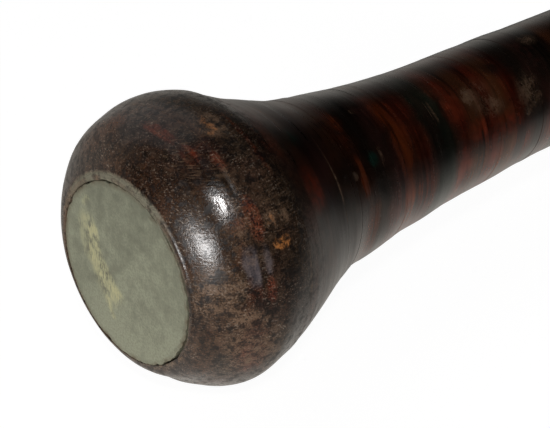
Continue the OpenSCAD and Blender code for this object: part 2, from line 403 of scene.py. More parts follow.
# Marks on the knob and the handle: kind, distance from the end face, angle round the axis from -Y up,
# half length along the axis, half width around it, strength, and depth if it has one; lengths in millimetres,
# angles in degrees
MARKS = (
    ("plum", 6.4, 76, 6.4, 13.0, 0.7),
    ("dent", 5.8, 43.5, 4.4, 3.6, 1.0, 0.10),
    ("polish", 5.9, 43.5, 0.8, 2.0, 1.0),
    # The bruised dent's colour is partly a bloom and partly a painted sheen.
    ("bruised", 7.1, 17, 1.8, 3.8, 1.5, 0.05),
    ("bruised", 9.3, 18.5, 0.9, 2.8, 1.0),
    ("polish", 7.1, 17, 1.9, 3.8, 0.8),
    ("polish", 1.8, 29, 2.6, 5.0, 0.20),
    ("dark", 8.3, 15, 0.5, 4.6, 1.0, 0.12),
    ("dark", 5.5, 13, 0.7, 2.4, 0.8, 0.05),
    ("dark", 4.8, 6, 0.8, 1.6, 0.9, 0.08),
    ("dark", 8.2, 53, 0.5, 5.2, 1.1, 0.12),
    ("worn", 8.9, 52, 0.4, 4.0, 0.7),
    ("dyed", 15.6, 60, 0.6, 8.0, 0.5),
    # Partly wear and partly painted light: rubbed colour on the knob's top.
    ("worn", 11.0, 100, 8.0, 14.0, 0.30),
    ("dark", 7.4, 50, 2.0, 3.0, 0.8),
    ("dark", 6.6, 96, 2.2, 4.0, 0.7),
    ("dark", 8.0, 74, 1.6, 3.0, 0.7),
    ("dyed", 6.0, 84, 0.9, 4.6, 0.9),
    ("dyed", 6.2, 66, 1.2, 2.6, 0.8),
    ("dyed", 9.1, 34, 1.5, 4.2, 1.2),
    ("dyed", 6.6, 34, 1.6, 1.8, 0.6),
    ("dyed", 8.8, 58, 1.0, 2.4, 0.5),
    ("dyed", 9.2, 7, 1.0, 2.4, 0.7),
    ("dyed", 7.2, -22, 3.0, 7.0, 0.5),
    ("dyed", 24.5, 35, 3.0, 5.4, 0.8),
    ("stained", 20.5, 62, 2.0, 5.0, 0.5),
    ("scratched", 14.0, 35, 4.0, 9.0, 0.8),
    ("scratched", 7.0, 62, 5.0, 9.0, 0.6),
    ("worn", 4.4, 4, 2.8, 6.0, 0.7),
    ("stained", 39.4, 28, 1.3, 4.6, 1.0),
    ("stained", 40.0, 66, 1.8, 3.0, 0.5),
    ("stained", 55.0, 35, 5.0, 5.0, 0.2),
    ("dyed", 68.0, 44, 3.4, 3.4, 0.5),
    ("dyed", 74.5, 18, 5.4, 3.4, 0.5),
    ("dyed", 82.0, 15, 5.0, 3.0, 0.5),
    ("green", 43.6, 35, 1.6, 1.8, 0.9),
    ("green", 27.0, 60, 2.4, 2.6, 0.5),
    ("green", 61.5, 30, 1.8, 5.0, 0.4),
    ("dark", 61.0, 36, 2.2, 9.0, 0.7),
    ("dark", 96.0, 60, 6.0, 9.0, 0.6),
    ("raw", 11.6, 73, 2.2, 2.6, 0.27),
    ("raw", 11.8, 30.5, 1.2, 1.6, 0.3),
    ("raw", 12.5, 22.3, 1.9, 1.3, 1.0, 0.12),
    ("worn", 12.0, 73, 2.8, 4.0, 0.9, 0.05),
    ("worn", 13.0, 71, 2.0, 3.2, 0.8, 0.05),
    ("worn", 11.8, 31, 1.4, 2.2, 0.9, 0.08),
    ("worn", 14.2, 30.5, 1.3, 1.8, 0.7, 0.05),
    ("worn", 5.0, 10, 0.9, 1.6, 0.7, 0.03),
    # Partly wear and partly a painted sheen: rubbed colour on the knob's front, which the lamps face.
    ("worn", 7.6, 30, 4.6, 8.0, 0.35),
    # Partly old varnish and partly painted shade: the knob's upper side made darker.
    ("dark", 3.6, 72, 3.4, 9.0, 0.45),
    ("worn", 2.4, 8, 3.4, 7.5, 0.75),
    ("scratched", 2.2, 10, 2.6, 5.0, 0.8),
    ("scratched", 2.6, -6, 3.0, 5.0, 0.8),
    ("scratched", 5.5, -22, 3.6, 6.0, 0.6),
    ("worn", 6.2, -5, 3.2, 2.6, 0.8, 0.03),
    ("worn", 6.5, -22, 5.5, 10.0, 0.9, 0.03),
    ("worn", 11.0, -24, 4.0, 9.0, 0.5),
    ("worn", 76.0, 45, 6.0, 5.0, 0.26, 0.02),
    ("worn", 73.5, 49, 2.8, 2.4, 0.5, 0.03),
    ("worn", 78.5, 33, 4.0, 3.0, 0.33, 0.02),
    ("worn", 89.5, 32, 4.8, 5.6, 0.42, 0.02),
    ("worn", 88.0, 18, 1.6, 1.6, 0.5, 0.02),
    ("worn", 98.5, 78, 3.0, 2.6, 0.45, 0.02),
    ("worn", 46.0, 70, 0.8, 0.8, 0.7, 0.03),
    ("worn", 46.0, 36, 0.5, 1.8, 0.7, 0.03),
    ("worn", 37.5, 30, 0.8, 1.2, 0.5, 0.03),
    ("worn", 17.7, 4, 0.4, 6.0, 1.2),
    ("worn", 32.0, 30, 0.3, 9.0, 1.0),
    ("worn", 63.0, 48, 0.4, 3.0, 0.6),
)
# Joints that show as a pale line, with the angles between which they do
PALE_JOINTS = ((2, 38, 78), (4, -45, 20), (7, 8, 60), (10, 28, 40), (14, 38, 58))
# Washers that stand proud of the turned outline or lie below it, at their near and far sides, in millimetres
PROUD = {3: (0.0, 0.16), 4: (-0.07, 0.0), 8: (0.03, 0.05), 9: (-0.06, -0.04), 10: (-0.04, 0.0)}
# Swells and hollows of the outline, as place along the axis, angle of the side, half length and height,
# in millimetres and degrees
SWELLS = (
    (2.8, -95, 2.6, -0.50),
    (6.0, -95, 3.2, -0.25),
    (11.5, -40, 4.0, 0.13),
    (16.2, -40, 4.4, -0.32),
    (27.0, -40, 9.0, 0.45),
    (39.4, -40, 4.4, -0.36),
    (48.0, -40, 8.0, 0.36),
    (60.0, -40, 8.0, 0.28),
    (94.0, -40, 14.0, -0.20),
    (5.0, 115, 4.0, 0.27),
    (23.4, 115, 6.5, -0.30),
    (36.5, 115, 5.0, -0.13),
    (46.5, 115, 6.5, 0.19),
    (70.0, 115, 21.0, -0.32),
    (96.0, 115, 8.0, 0.10),
)


def angle_from(theta, middle):
    """Angle from a middle one, between -180 and 180 degrees."""
    return (theta - middle + 180) % 360 - 180


def uneven(x, theta):
    """Offset of the skin from the turned outline, with distance and offset in millimetres."""
    off = 0.0
    for place, side, half, height in SWELLS:
        along = (x - place) / half
        if abs(along) < 1:
            beside = 1 - rise(abs(angle_from(theta, side)), 25, 60)
            off += height * (1 - along * along) ** 2 * beside
    return off


# What the skin shows, by the names of the layers that the leather reads
WEAR_KINDS = ("worn", "raw", "polish", "scratched", "dust", "dull")
# Marks that change the dye, with the colour of a hide and how much paler it is there
TINTS = (
    ("dyed", "oxblood", 2.1), ("stained", "russet", 1.8), ("green", "verdigris", 1.0),
    ("dark", "varnish", 1.0), ("bruised", "bruise_and_sheen", 1.0), ("plum", "plum", 0.8),
)


def chance(p, times, place=(0, 0, 0)):
    """Smooth noise at a point in millimetres, between -1 and 1."""
    return noise.noise(p * times + Vector(place))


class Spot:
    """A point of the skin: its place in millimetres, its angle in degrees, and chance patterns there."""

    def __init__(self, co):
        self.p = co * 1000
        self.r = math.hypot(co.y, co.z)
        self.theta = math.degrees(math.atan2(co.z, -co.y))
        self.fine, self.blots = chance(self.p, 0.35), chance(self.p, 0.9, (5, 1, 8))


def dye_leather(bm, layers, stack, hides, wear):
    """Writes each point's dye, which strays over the joints and is darkened by smoke on the knob.

    The dye's alpha is how much old varnish stays on it.
    """
    colours = [Vector(getattr(hides, name)) for name in HIDES]
    smoke = Vector(hides.plum).lerp(Vector(hides.varnish), 0.3)
    for v in bm.verts:
        p = v.co * 1000
        stray = noise.noise(Vector((p.x * 0.05, p.y * 0.10, p.z * 0.10))) + 0.5 * chance(p, 0.33)
        shade = 1 + 0.7 * noise.noise(Vector((v[layers["washer"]] * 5.13, 0.29, 0.83)))
        x = v.co.x + stray * wear.ragged * v[layers["skin"]]
        cloud = chance(p, 0.13, (9, 2, 4)) + 0.6 * chance(p, 0.4)
        smoked = 0.8 * rise(cloud, -0.25, 0.25) * (1 - rise(x, 14 * MM, 22 * MM))
        dye = (stack.dye(colours, x, wear.bleed) * shade).lerp(smoke, smoked)
        v[layers["dye"]] = Vector((*dye, 1 - 0.5 * rise(x, *DULLER)))


def put_marks(v, layers, spot, tints, share):
    """Adds the marks at a point to its dye and its shares of wear, and returns how deep they are."""
    depth = 0.0
    for kind, place, angle, half_x, half_arc, strength, *deep in MARKS:
        along = (spot.p.x - place) / half_x
        if abs(along) > 1:
            continue
        around = math.radians(angle_from(spot.theta, angle)) * spot.r * 1000 / half_arc
        left = 1 - along * along - around * around
        if left <= 0:
            continue
        depth += sum(deep) * MM * left * left
        patchy = {"worn": left * (1 + 1.2 * spot.fine), "raw": 1.5 + spot.blots, "polish": left}
        shown = min(1.0, max(0.0, strength * left * patchy.get(kind, 1 + spot.blots)))
        if kind not in tints:
            share[kind] = share.get(kind, 0.0) + shown
            continue
        dye = Vector(v[layers["dye"]])
        cleared = 0.0 if kind in ("dark", "plum") else 0.85 * shown
        tinted = dye.xyz.lerp(tints[kind], min(1.0, 1.5 * shown))
        v[layers["dye"]] = Vector((*tinted, dye.w * (1 - cleared)))
        if kind in ("bruised", "plum"):
            v[layers["grain"]] *= 1 - 0.75 * shown
        if kind == "plum":
            share["worn"] *= 1 - 0.8 * shown
    return depth


def wear_lip(stack, spot, share):
    """Adds the dust and wear of the lip around the knob's disc, which shows less of it on one side."""
    r, arris = spot.r, stack.knob_arris
    across = (r - stack.knob_recess_r) / (arris - stack.knob_recess_r)
    narrow = rise(math.cos(math.radians(spot.theta - 10)), 0.55, 0.9)
    facing = rise(math.cos(math.radians(spot.theta - 80)), 0.1, 0.9)
    lip = (1 - rise(r, arris, arris + 0.3 * MM)) * (1 - narrow * rise(across, 0.15, 0.6))
    line = (1 - narrow) * max(0.0, 1 - abs(r - arris) / (0.22 * MM))
    patchy = 0.8 + 0.9 * spot.fine + 0.5 * spot.blots
    share["dust"] = lip * (0.12 + 0.88 * facing) * patchy + 0.5 * line * facing
    share["worn"] += lip * (0.45 + 0.45 * facing) + 0.6 * line


def wear_leather(bm, layers, stack, hides, wear):
    """Moves the skin off the true round, writes where it is rubbed, torn, polished or grained, and paints
    bounce light into the dye of the handle's lower side.
    """
    tints = {name: Vector(getattr(hides, hide)) * times for name, hide, times in TINTS}
    moves = {}
    for v in bm.verts:
        x, y, z = v.co
        i, skin, edge = v[layers["washer"]], v[layers["skin"]], v[layers["edge"]]
        at_knob = 1 - rise(x, 16 * MM, 26 * MM)
        at_end = rise(x, stack.length - 50 * MM, stack.length - 10 * MM)
        v[layers["grain"]] = max(0.05, at_knob, 0.7 * at_end)
        if skin == 0:
            continue
        spot = Spot(v.co)
        p, r, theta = spot.p, spot.r, spot.theta
        off = wear.out_of_round * chance(p, 0.028) + wear.lumps * chance(p, 0.21)
        off += wear.steps * (1 - 0.7 * at_knob) * noise.noise(Vector((i * 7.31, 0.37, 0.71)))
        if i in PROUD:
            across = stack.across(i, x)
            off += MM * (PROUD[i][0] * (1 - across) + PROUD[i][1] * across)
        rubbed = max(0.0, chance(p, 0.06, (3, 7, 1)))
        share = {
            "worn": 0.22 * max(at_knob, 0.7 * at_end) + 0.30 * rubbed * (0.3 + at_knob),
            "dull": 0.25 * (rise(x, 13 * MM, 20 * MM) - rise(x, 32 * MM, 46 * MM)) + rise(x, *DULLER),
        }
        if x < MARKED:
            off += MM * uneven(p.x, theta)
            # Painted bounce light: the dye on the handle's lower side is made paler and its old varnish
            # thinner, as if lit from the bright floor below.
            below = (1 - rise(theta, -6, 16)) * rise(theta, -75, -25) * rise(x, 34 * MM, 42 * MM)
            paler = Vector(v[layers["dye"]]).xyz * (1 + 1.9 * below)
            v[layers["dye"]] = Vector((*paler, 1 - 0.7 * below))
            off -= put_marks(v, layers, spot, tints, share)
        lift = 0.0
        if edge:
            seat, turn = stack.seat(i, x), math.radians(theta)
            wave = noise.noise(Vector((seat * 3.7, 1.6 * math.cos(turn), 1.6 * math.sin(turn))))
            gap = min(1.0, max(0.0, 2.2 * wave - 1.55 - 0.3 * at_knob))
            lift = edge * wear.edge_ease * (1 - gap)
            for joint, low, high in PALE_JOINTS:
                if joint == seat and low < theta < high:
                    share["worn"] += 1.3 * edge * (0.7 + noise.noise(Vector((theta * 0.11, joint, 0))))
        if x < LIP_DEPTH:
            wear_lip(stack, spot, share)
        if x > stack.length - LIP_DEPTH:
            share["worn"] += 0.8 * (1 - rise(r, stack.barrel_arris, stack.barrel_arris + 0.3 * MM))
        share["worn"] *= wear.rubbing
        for kind in WEAR_KINDS:
            v[layers[kind]] = min(1.0, max(0.0, share.get(kind, 0.0)))
        nx, nr = ARRIS_NORMAL if x < ARRIS_DEPTH else stack.normal(x)
        out = nr * off + lift
        moves[v] = Vector((nx * off, out * y / r, out * z / r)) * skin
    for v, move in moves.items():
        v.co += move
    let_in_knob_disc(bm, layers, stack)


def let_in_knob_disc(bm, layers, stack):
    """Moves the recess of the knob's disc and the lip around it off the axis, and makes the rim uneven."""
    wide = stack.knob_arris - stack.knob_recess_r
    recess, lip = stack.knob_shift, 0.6 * stack.knob_shift
    for v in bm.verts:
        if v[layers["washer"]] != 0:
            continue
        around = Vector((0, v.co.y, v.co.z))
        r = around.length
        if v[layers["skin"]] == 0:
            if v.co.x < stack.disc_t + NEAR and abs(r - stack.knob_recess_r) < NEAR:
                v.co += recess
            continue
        out = min(1.0, max(0.0, (r - stack.knob_recess_r) / wide))
        u = around / r
        ragged = noise.noise(u * 4 + Vector((0.3, 0, 0))) + 0.6 * noise.noise(u * 15 + Vector((1.3, 0, 0)))
        v.co += u * (1 - out) * RIM_STRAY * max(-1.1, 1.5 * ragged - 0.55)
        v.co += recess.lerp(lip, out) * (1 - rise(v.co.x, *LIP_MOVED))


def new_layers(bm):
    """Vertex layers for the build, and those that the materials read."""
    layers = {"washer": bm.verts.layers.int.new("washer")}
    layers["dye"] = bm.verts.layers.float_color.new("dye")
    for name in ("skin", "edge", "grain") + WEAR_KINDS:
        layers[name] = bm.verts.layers.float.new(name)
    return layers


def leather_piece(context, node, washers, slot, step, turns):
    """One piece of leather, of one washer or a pack of them, in place of its CAD node."""
    scene = context.scene
    stack, hides, wear = Stack(scene), scene.bat_hides, scene.bat_wear
    bm = bmesh.new()
    layers = new_layers(bm)
    spin_washers(bm, layers, stack, washers, wear.edge_ease, step, turns)
    bmesh.ops.recalc_face_normals(bm, faces=bm.faces)
    dye_leather(bm, layers, stack, hides, wear)
    wear_leather(bm, layers, stack, hides, wear)
    bm.verts.layers.int.remove(layers["washer"])
    for name in ("skin", "edge"):
        bm.verts.layers.float.remove(bm.verts.layers.float[name])
    material = finish("varnished_leather", varnished_leather, scene)
    new_piece(context, f"leather_{node}", bm, material, node)


def new_piece(context, name, bm, material, node):
    """Makes a smooth piece of a bmesh, which stands for its CAD node and takes its finish from a slot."""
    for f in bm.faces:
        f.smooth = True
    mesh = bpy.data.meshes.new(name)
    bm.to_mesh(mesh)
    bm.free()
    mesh.set_sharp_from_angle(angle=SHARP)
    mesh.materials.append(material)
    piece = bpy.data.objects.new(name, mesh)
    context.scene.collection.objects.link(piece)
    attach(piece, BODY)
    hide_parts(node)


class Nodes:
    """Adds nodes to a material and links them."""

    def __init__(self, tree):
        self.tree = tree
        tree.nodes.clear()

    def add(self, kind, inputs=(), **settings):
        """A node with its settings, and with each input linked to an output or set to a value."""
        node = self.tree.nodes.new(kind)
        for name, value in settings.items():
            setattr(node, name, value)
        for name, value in dict(inputs).items():
            if isinstance(value, bpy.types.NodeSocket):
                self.tree.links.new(value, node.inputs[name])
            else:
                node.inputs[name].default_value = value
        return node

    def coords(self):
        return self.add("ShaderNodeTexCoord").outputs["Object"]

    def noise(self, coords, scale, detail=2.0, roughness=0.5, distortion=0.0):
        """Noise of one scale, or of a scale along each axis."""
        if isinstance(scale, tuple):
            stretched = self.add("ShaderNodeMapping", {"Vector": coords, "Scale": scale})
            coords, scale = stretched.outputs["Vector"], 1.0
        inputs = {"Vector": coords, "Scale": scale, "Detail": detail, "Roughness": roughness}
        return self.add("ShaderNodeTexNoise", {**inputs, "Distortion": distortion}).outputs["Fac"]

    def math(self, operation, a, b=0.0, clamp=False):
        return self.add("ShaderNodeMath", {0: a, 1: b}, operation=operation, use_clamp=clamp).outputs[0]

    def plus(self, total, *parts):
        for part in parts:
            total = self.math("ADD", total, part)
        return total

    def minus(self, a, b):
        return self.math("SUBTRACT", a, b)

    def times(self, product, *parts, clamp=False):
        for part in parts:
            product = self.math("MULTIPLY", product, part, clamp)
        return product

    def weighed(self, *parts):
        """Sum of some values, each times its weight."""
        return self.plus(*[self.times(value, weight) for value, weight in parts])

    def span(self, value, low, high, to_low=0.0, to_high=1.0, kind="LINEAR"):
        """Maps a value between two limits to two others."""
        inputs = {"Value": value, "From Min": low, "From Max": high, "To Min": to_low, "To Max": to_high}
        return self.add("ShaderNodeMapRange", inputs, interpolation_type=kind).outputs["Result"]

    def soft_span(self, *limits):
        """Maps a value between two limits to two others, with a soft start and end."""
        return self.span(*limits, kind="SMOOTHSTEP")

    def blend(self, factor, a, b):
        """Mixes two colours."""
        colours = {0: factor, 6: a, 7: b}
        return self.add("ShaderNodeMix", colours, data_type="RGBA", clamp_factor=True).outputs[2]

    def ramp(self, value, stops):
        """Colours along a ramp, as places and colours."""
        node = self.add("ShaderNodeValToRGB", {"Fac": value})
        elements = node.color_ramp.elements
        while len(elements) < len(stops):
            elements.new(0.5)
        for element, (place, rgb) in zip(elements, stops):
            element.position, element.color = place, rgb
        return node.outputs["Color"]

    def attribute(self, name, output="Fac"):
        return self.add("ShaderNodeAttribute", attribute_name=name).outputs[output]

    def scaled(self, colour, factor):
        """A colour made deeper or paler."""
        inputs = {0: colour, "Scale": factor}
        return self.add("ShaderNodeVectorMath", inputs, operation="SCALE").outputs["Vector"]

    def bump(self, height, distance, strength=1.0, **below):
        """Fine relief, over the relief below it if there is one."""
        inputs = {"Height": height, "Distance": distance, "Strength": strength, **below}
        return self.add("ShaderNodeBump", inputs).outputs["Normal"]

    def surface(self, inputs):
        """The surface shader, linked to the output."""
        shader = self.add("ShaderNodeBsdfPrincipled", inputs)
        self.add("ShaderNodeOutputMaterial", {"Surface": shader.outputs["BSDF"]})


def rgba(rgb, times=1.0):
    return tuple(min(1.0, c * times) for c in rgb) + (1.0,)


def finish(name, build, scene):
    """A material by its name, which is built when it is first asked for."""
    material = bpy.data.materials.get(name)
    if material is None:
        material = bpy.data.materials.new(name)
        material.use_nodes = True
        build(Nodes(material.node_tree), scene)
    return material


def varnished_leather(n, scene):
    """Leather dyed washer by washer, with turning streaks, grain, flecks that are partly painted glints, old
    varnish and rubbed places.
    """
    hides, fine_relief = scene.bat_hides, 0.04 * MM * scene.bat_wear.grain
    coords = n.coords()
    streaks = n.noise(coords, (900, 42, 42), 2.5, 0.6)
    blotches = n.noise(coords, (130, 80, 80), 3.0, 0.55, 0.6)
    patches = n.noise(coords, (75, 65, 65), 4.0, 0.62, 0.5)
    clusters = n.noise(coords, 240, 2.0, 0.5)
    crumbs = n.noise(coords, 800, 3.0, 0.6)
    grain = n.noise(coords, 3400, 1.5, 0.55)
    pebbles = n.noise(coords, 1700, 1.0, 0.5)
    scratches = n.noise(coords, (160, 800, 4200), 1.0, 0.5)
    hairs = n.noise(coords, (1100, 1500, 5200), 1.0, 0.5)
    grained, worn, polish, raw = [n.attribute(name) for name in ("grain", "worn", "polish", "raw")]
    unpolished = n.minus(1.0, polish)
    # Dye, deeper and paler in streaks and blotches, and speckled by the grain
    speckle = n.plus(n.times(grained, n.span(grain, 0.34, 0.66, -0.85, 0.7)), 1.0)
    tone = n.span(n.weighed((streaks, 0.5), (blotches, 0.5)), 0.36, 0.64, 0.25, 2.2)
    base = n.scaled(n.attribute("dye", "Color"), n.times(tone, speckle))
    # Old varnish lies over all the hides alike, so it runs on across the joints.
    aged = n.span(n.weighed((patches, 0.75), (streaks, 0.25)), 0.44, 0.58, 0.0, 0.88)
    base = n.blend(n.times(aged, unpolished, n.attribute("dye", "Alpha")), base, rgba(hides.varnish))
    # Rubbed places, scratches and dust are broken up by the grain.
    broken = n.weighed((grain, 0.35), (blotches, 0.35), (crumbs, 0.5))
    rub = n.times(worn, n.span(broken, 0.48, 0.74, 0.05, 1.3), clamp=True)
    base = n.blend(rub, base, rgba(hides.rubbed))
    scored = n.times(n.attribute("scratched"), n.span(scratches, 0.54, 0.68, 0.0, 0.5), clamp=True)
    base = n.blend(scored, base, rgba(hides.rubbed, 1.2))
    dusty = n.times(n.attribute("dust"), n.span(broken, 0.42, 0.66, 0.4, 1.2), clamp=True)
    base = n.blend(dusty, base, rgba(hides.dust))
    # The grain's high points are pale flecks, partly dust and scuffs and partly painted glints, and its low
    # points are dark pits.
    high = n.span(n.weighed((grain, 0.5), (hairs, 0.5)), 0.55, 0.70)
    fleck_and_glint = n.times(high, n.span(clusters, 0.40, 0.64, 0.15, 0.8), grained, clamp=True)
    base = n.blend(fleck_and_glint, base, rgba(hides.fleck_and_glint))
    torn = n.span(n.plus(raw, n.times(crumbs, 1.6)), 1.05, 1.75)
    torn = n.times(torn, n.span(raw, 0.0, 0.15), n.span(grain, 0.34, 0.60, 0.15, 1.0), clamp=True)
    base = n.blend(torn, base, n.ramp(crumbs, ((0.38, rgba(hides.raw, 0.4)), (0.62, rgba(hides.raw, 1.6)))))
    hollow = n.math("MAXIMUM", n.span(grain, 0.30, 0.42, 1.0, 0.0), n.span(crumbs, 0.38, 0.50, 0.85, 0.0))
    pit = n.times(hollow, grained, n.span(dusty, 0.0, 0.8, 0.85, 0.25))
    base = n.blend(pit, base, rgba(hides.varnish))
    # Gloss, which the polished places have more of and all the others less
    dulled = ((pit, 0.3), (fleck_and_glint, 0.15), (rub, 0.2), (torn, 0.35), (dusty, 0.4), (n.attribute("dull"), 0.32))
    shine = n.minus(n.span(streaks, 0.35, 0.65, 0.19, 0.27), n.times(grained, 0.06))
    shine = n.minus(n.plus(shine, n.weighed(*dulled)), n.times(polish, 0.3))
    relief = n.weighed((grain, 0.4), (pebbles, 0.4), (scratches, 0.35))
    rough_skin = n.bump(n.times(relief, grained, unpolished), fine_relief)
    n.surface({
        "Base Color": base,
        "Roughness": n.math("MAXIMUM", shine, 0.15),
        "Normal": n.bump(streaks, fine_relief, 0.8, Normal=rough_skin),
        "IOR": 1.5,
    })


def tarnished_metal(n, scene):
    """Dull tarnished metal with mottling, fine scratches, a scraped place and painted light towards its lower
    edge.
    """
    discs = scene.bat_discs
    coords = n.coords()
    clouds = n.noise(coords, 110, 3.0, 0.6)
    mottle = n.noise(coords, 420, 4.0, 0.65)
    fine = n.noise(coords, 2600, 2.0, 0.6)
    scratches = n.noise(coords, (300, 5200, 620), 3.0, 0.6)
    scraped, edge = n.attribute("scraped"), n.attribute("edge_dirt")
    # Tarnish, made paler towards the lower edge as painted light
    low = n.span(n.add("ShaderNodeSeparateXYZ", {0: coords}).outputs["Z"], 0.008, -0.016, 0.0, 0.15)
    tone = n.plus(n.weighed((clouds, 0.45), (mottle, 0.55)), low)
    shades = ((0.36, 0.74), (0.5, 1.0), (0.64, 1.3))
    base = n.ramp(tone, [(place, rgba(discs.tarnish, times)) for place, times in shades])
    base = n.blend(n.span(fine, 0.42, 0.70, 0.0, 0.5), base, rgba(discs.tarnish, 0.66))
    base = n.blend(n.span(scratches, 0.56, 0.72, 0.0, 0.22), base, rgba(discs.tarnish, 1.45))
    # The scraped place, bare in flakes and stained between them
    flakes = n.weighed((scratches, 0.6), (mottle, 0.6))
    bare = n.times(scraped, n.span(flakes, 0.53, 0.69, 0.05, 1.15), clamp=True)
    base = n.blend(bare, base, rgba(discs.scrape))
    stained = n.times(scraped, n.span(flakes, 0.50, 0.58, 0.6, 0.0), clamp=True)
    base = n.blend(stained, base, rgba(discs.stain))
    dirty = n.times(edge, n.span(mottle, 0.38, 0.62, 0.1, 1.0), clamp=True)
    n.surface({
        "Base Color": n.blend(dirty, base, rgba(discs.dirt)),
        "Roughness": n.minus(n.span(mottle, 0.3, 0.7, 0.50, 0.66), n.times(bare, 0.15)),
        "Normal": n.bump(n.plus(fine, n.times(scratches, 1.5)), 0.06 * MM, 0.8),
        "Metallic": 0.25,
        "IOR": 1.5,
    })


def turned_steel(n, scene):
    """Turned steel of the rod, nuts and thrust washers."""
    steel = scene.bat_core.steel
    coords = n.coords()
    rings = n.noise(coords, (2600, 90, 90), 2.0, 0.5)
    stain = n.noise(coords, 180, 4.0, 0.6)
    shades = ((0.35, 0.7), (0.55, 1.0), (0.75, 1.2))
    n.surface({
        "Base Color": n.ramp(stain, [(place, rgba(steel, times)) for place, times in shades]),
        "Roughness": n.span(rings, 0.3, 0.7, 0.28, 0.45),
        "Normal": n.bump(rings, 0.02 * MM, 0.6),
        "Metallic": 1.0,
    })


def pale_floor(n, scene):
    """Floor that keeps the bat's shadow and shows white in view; in reflections it shows a painted pool of
    light beside the bat, with a painted contact shadow right under it, and a painted glow behind it.
    """
    stage = scene.bat_stage
    path = n.add("ShaderNodeLightPath").outputs
    in_view = path["Is Camera Ray"]
    seen = n.math("MAXIMUM", in_view, n.math("MAXIMUM", path["Is Glossy Ray"], path["Is Transmission Ray"]))
    place = n.coords()
    x, y, z = n.add("ShaderNodeSeparateXYZ", {0: place}).outputs
    # Painted pool of light beside the bat, seen only in reflections, which fades away from it and past the
    # handle, with a painted contact shadow right under the bat
    ahead = n.math("MINIMUM", x, 0.0)
    past = n.times(n.math("MAXIMUM", n.minus(x, 0.14), 0.0), 1.5)
    away = n.math("SQRT", n.plus(*[n.math("POWER", part, 2.0) for part in (ahead, past, y)]))
    near = n.math("DIVIDE", 0.72, n.plus(1.0, n.math("POWER", n.math("DIVIDE", away, 0.042), 2.0)))
    near = n.times(near, n.soft_span(away, 0.0, 0.010, 0.7, 1.0))
    # Painted glow behind the bat, seen only in reflections, which gives the handle's top its sheen, by how
    # far a place leans away from the handle
    beside = n.plus(n.minus(y, n.times(n.math("MAXIMUM", x, 0.0), 0.55)), ahead)
    far = n.add("ShaderNodeVectorMath", {0: place}, operation="LENGTH").outputs["Value"]
    lean = n.math("DIVIDE", beside, n.plus(far, 0.03))
    behind = n.times(n.soft_span(lean, -0.2, 0.3, 0.0, 0.41), n.soft_span(z, 0.0, 6.0, 1.0, 0.1))
    white_and_painted_glow = n.math("MAXIMUM", n.times(in_view, 0.95), n.math("MAXIMUM", near, behind))
    # The painted pool and glow are tinted warm in reflections and stay white in view.
    tint = n.blend(in_view, rgba(stage.painted_glow_tint), WHITE)
    white = n.add("ShaderNodeEmission", {"Color": tint, "Strength": white_and_painted_glow})
    shade = n.add("ShaderNodeBsdfDiffuse", {"Color": n.blend(in_view, rgba(stage.dim), rgba(stage.shadow))})
    lit = n.add("ShaderNodeAddShader", {0: shade.outputs[0], 1: white.outputs[0]})
    matt = n.add("ShaderNodeBsdfDiffuse", {"Color": rgba(stage.floor)})
    mixed = n.add("ShaderNodeMixShader", {0: seen, 1: matt.outputs[0], 2: lit.outputs[0]})
    n.add("ShaderNodeOutputMaterial", {"Surface": mixed.outputs[0]})


# Scraped streaks in the knob's disc, as start, end, half width, depth and strength, from the disc's middle
KNOB_SCRAPES = (
    ((9.8, 9.4), (8.8, 10.6), 0.7, 0.02, 0.6),
    ((9.2, 5.4), (8.6, 1.0), 3.0, 0.03, 0.7),
    ((7.6, 4.8), (7.6, 0.6), 1.4, 0.04, 1.0),
    ((7.6, 0.8), (5.4, -3.0), 2.2, 0.03, 0.9),
    ((6.4, -2.2), (4.0, -5.4), 3.0, 0.03, 0.8),
    ((4.0, -2.8), (1.4, -5.2), 1.2, 0.02, 0.5),
    ((5.2, -6.8), (3.7, -9.8), 0.6, 0.04, 1.0),
)
BARREL_SCRAPES = (
    ((-9.0, 7.0), (-3.0, 1.0), 1.0, 0.03, 0.7),
    ((4.0, -6.0), (10.0, -9.0), 0.7, 0.03, 0.6),
    ((1.0, 9.0), (6.0, 11.0), 0.5, 0.02, 0.5),
)


def disc_section(radius, thick, bevel):
    """Half section of a disc from the middle of its outer face to that of its inner one: depth and radius."""
    face = [(0.0, (radius - bevel) * k / DISC_RINGS) for k in range(DISC_RINGS + 1)]
    rounding = ((0.06, 0.55), (0.3, 0.2), (0.75, 0.0))
    edge = [(down * bevel, radius - back * bevel) for down, back in rounding]
    return face + edge + [(0.5 * thick, radius), (thick, radius), (thick, 0.0)]


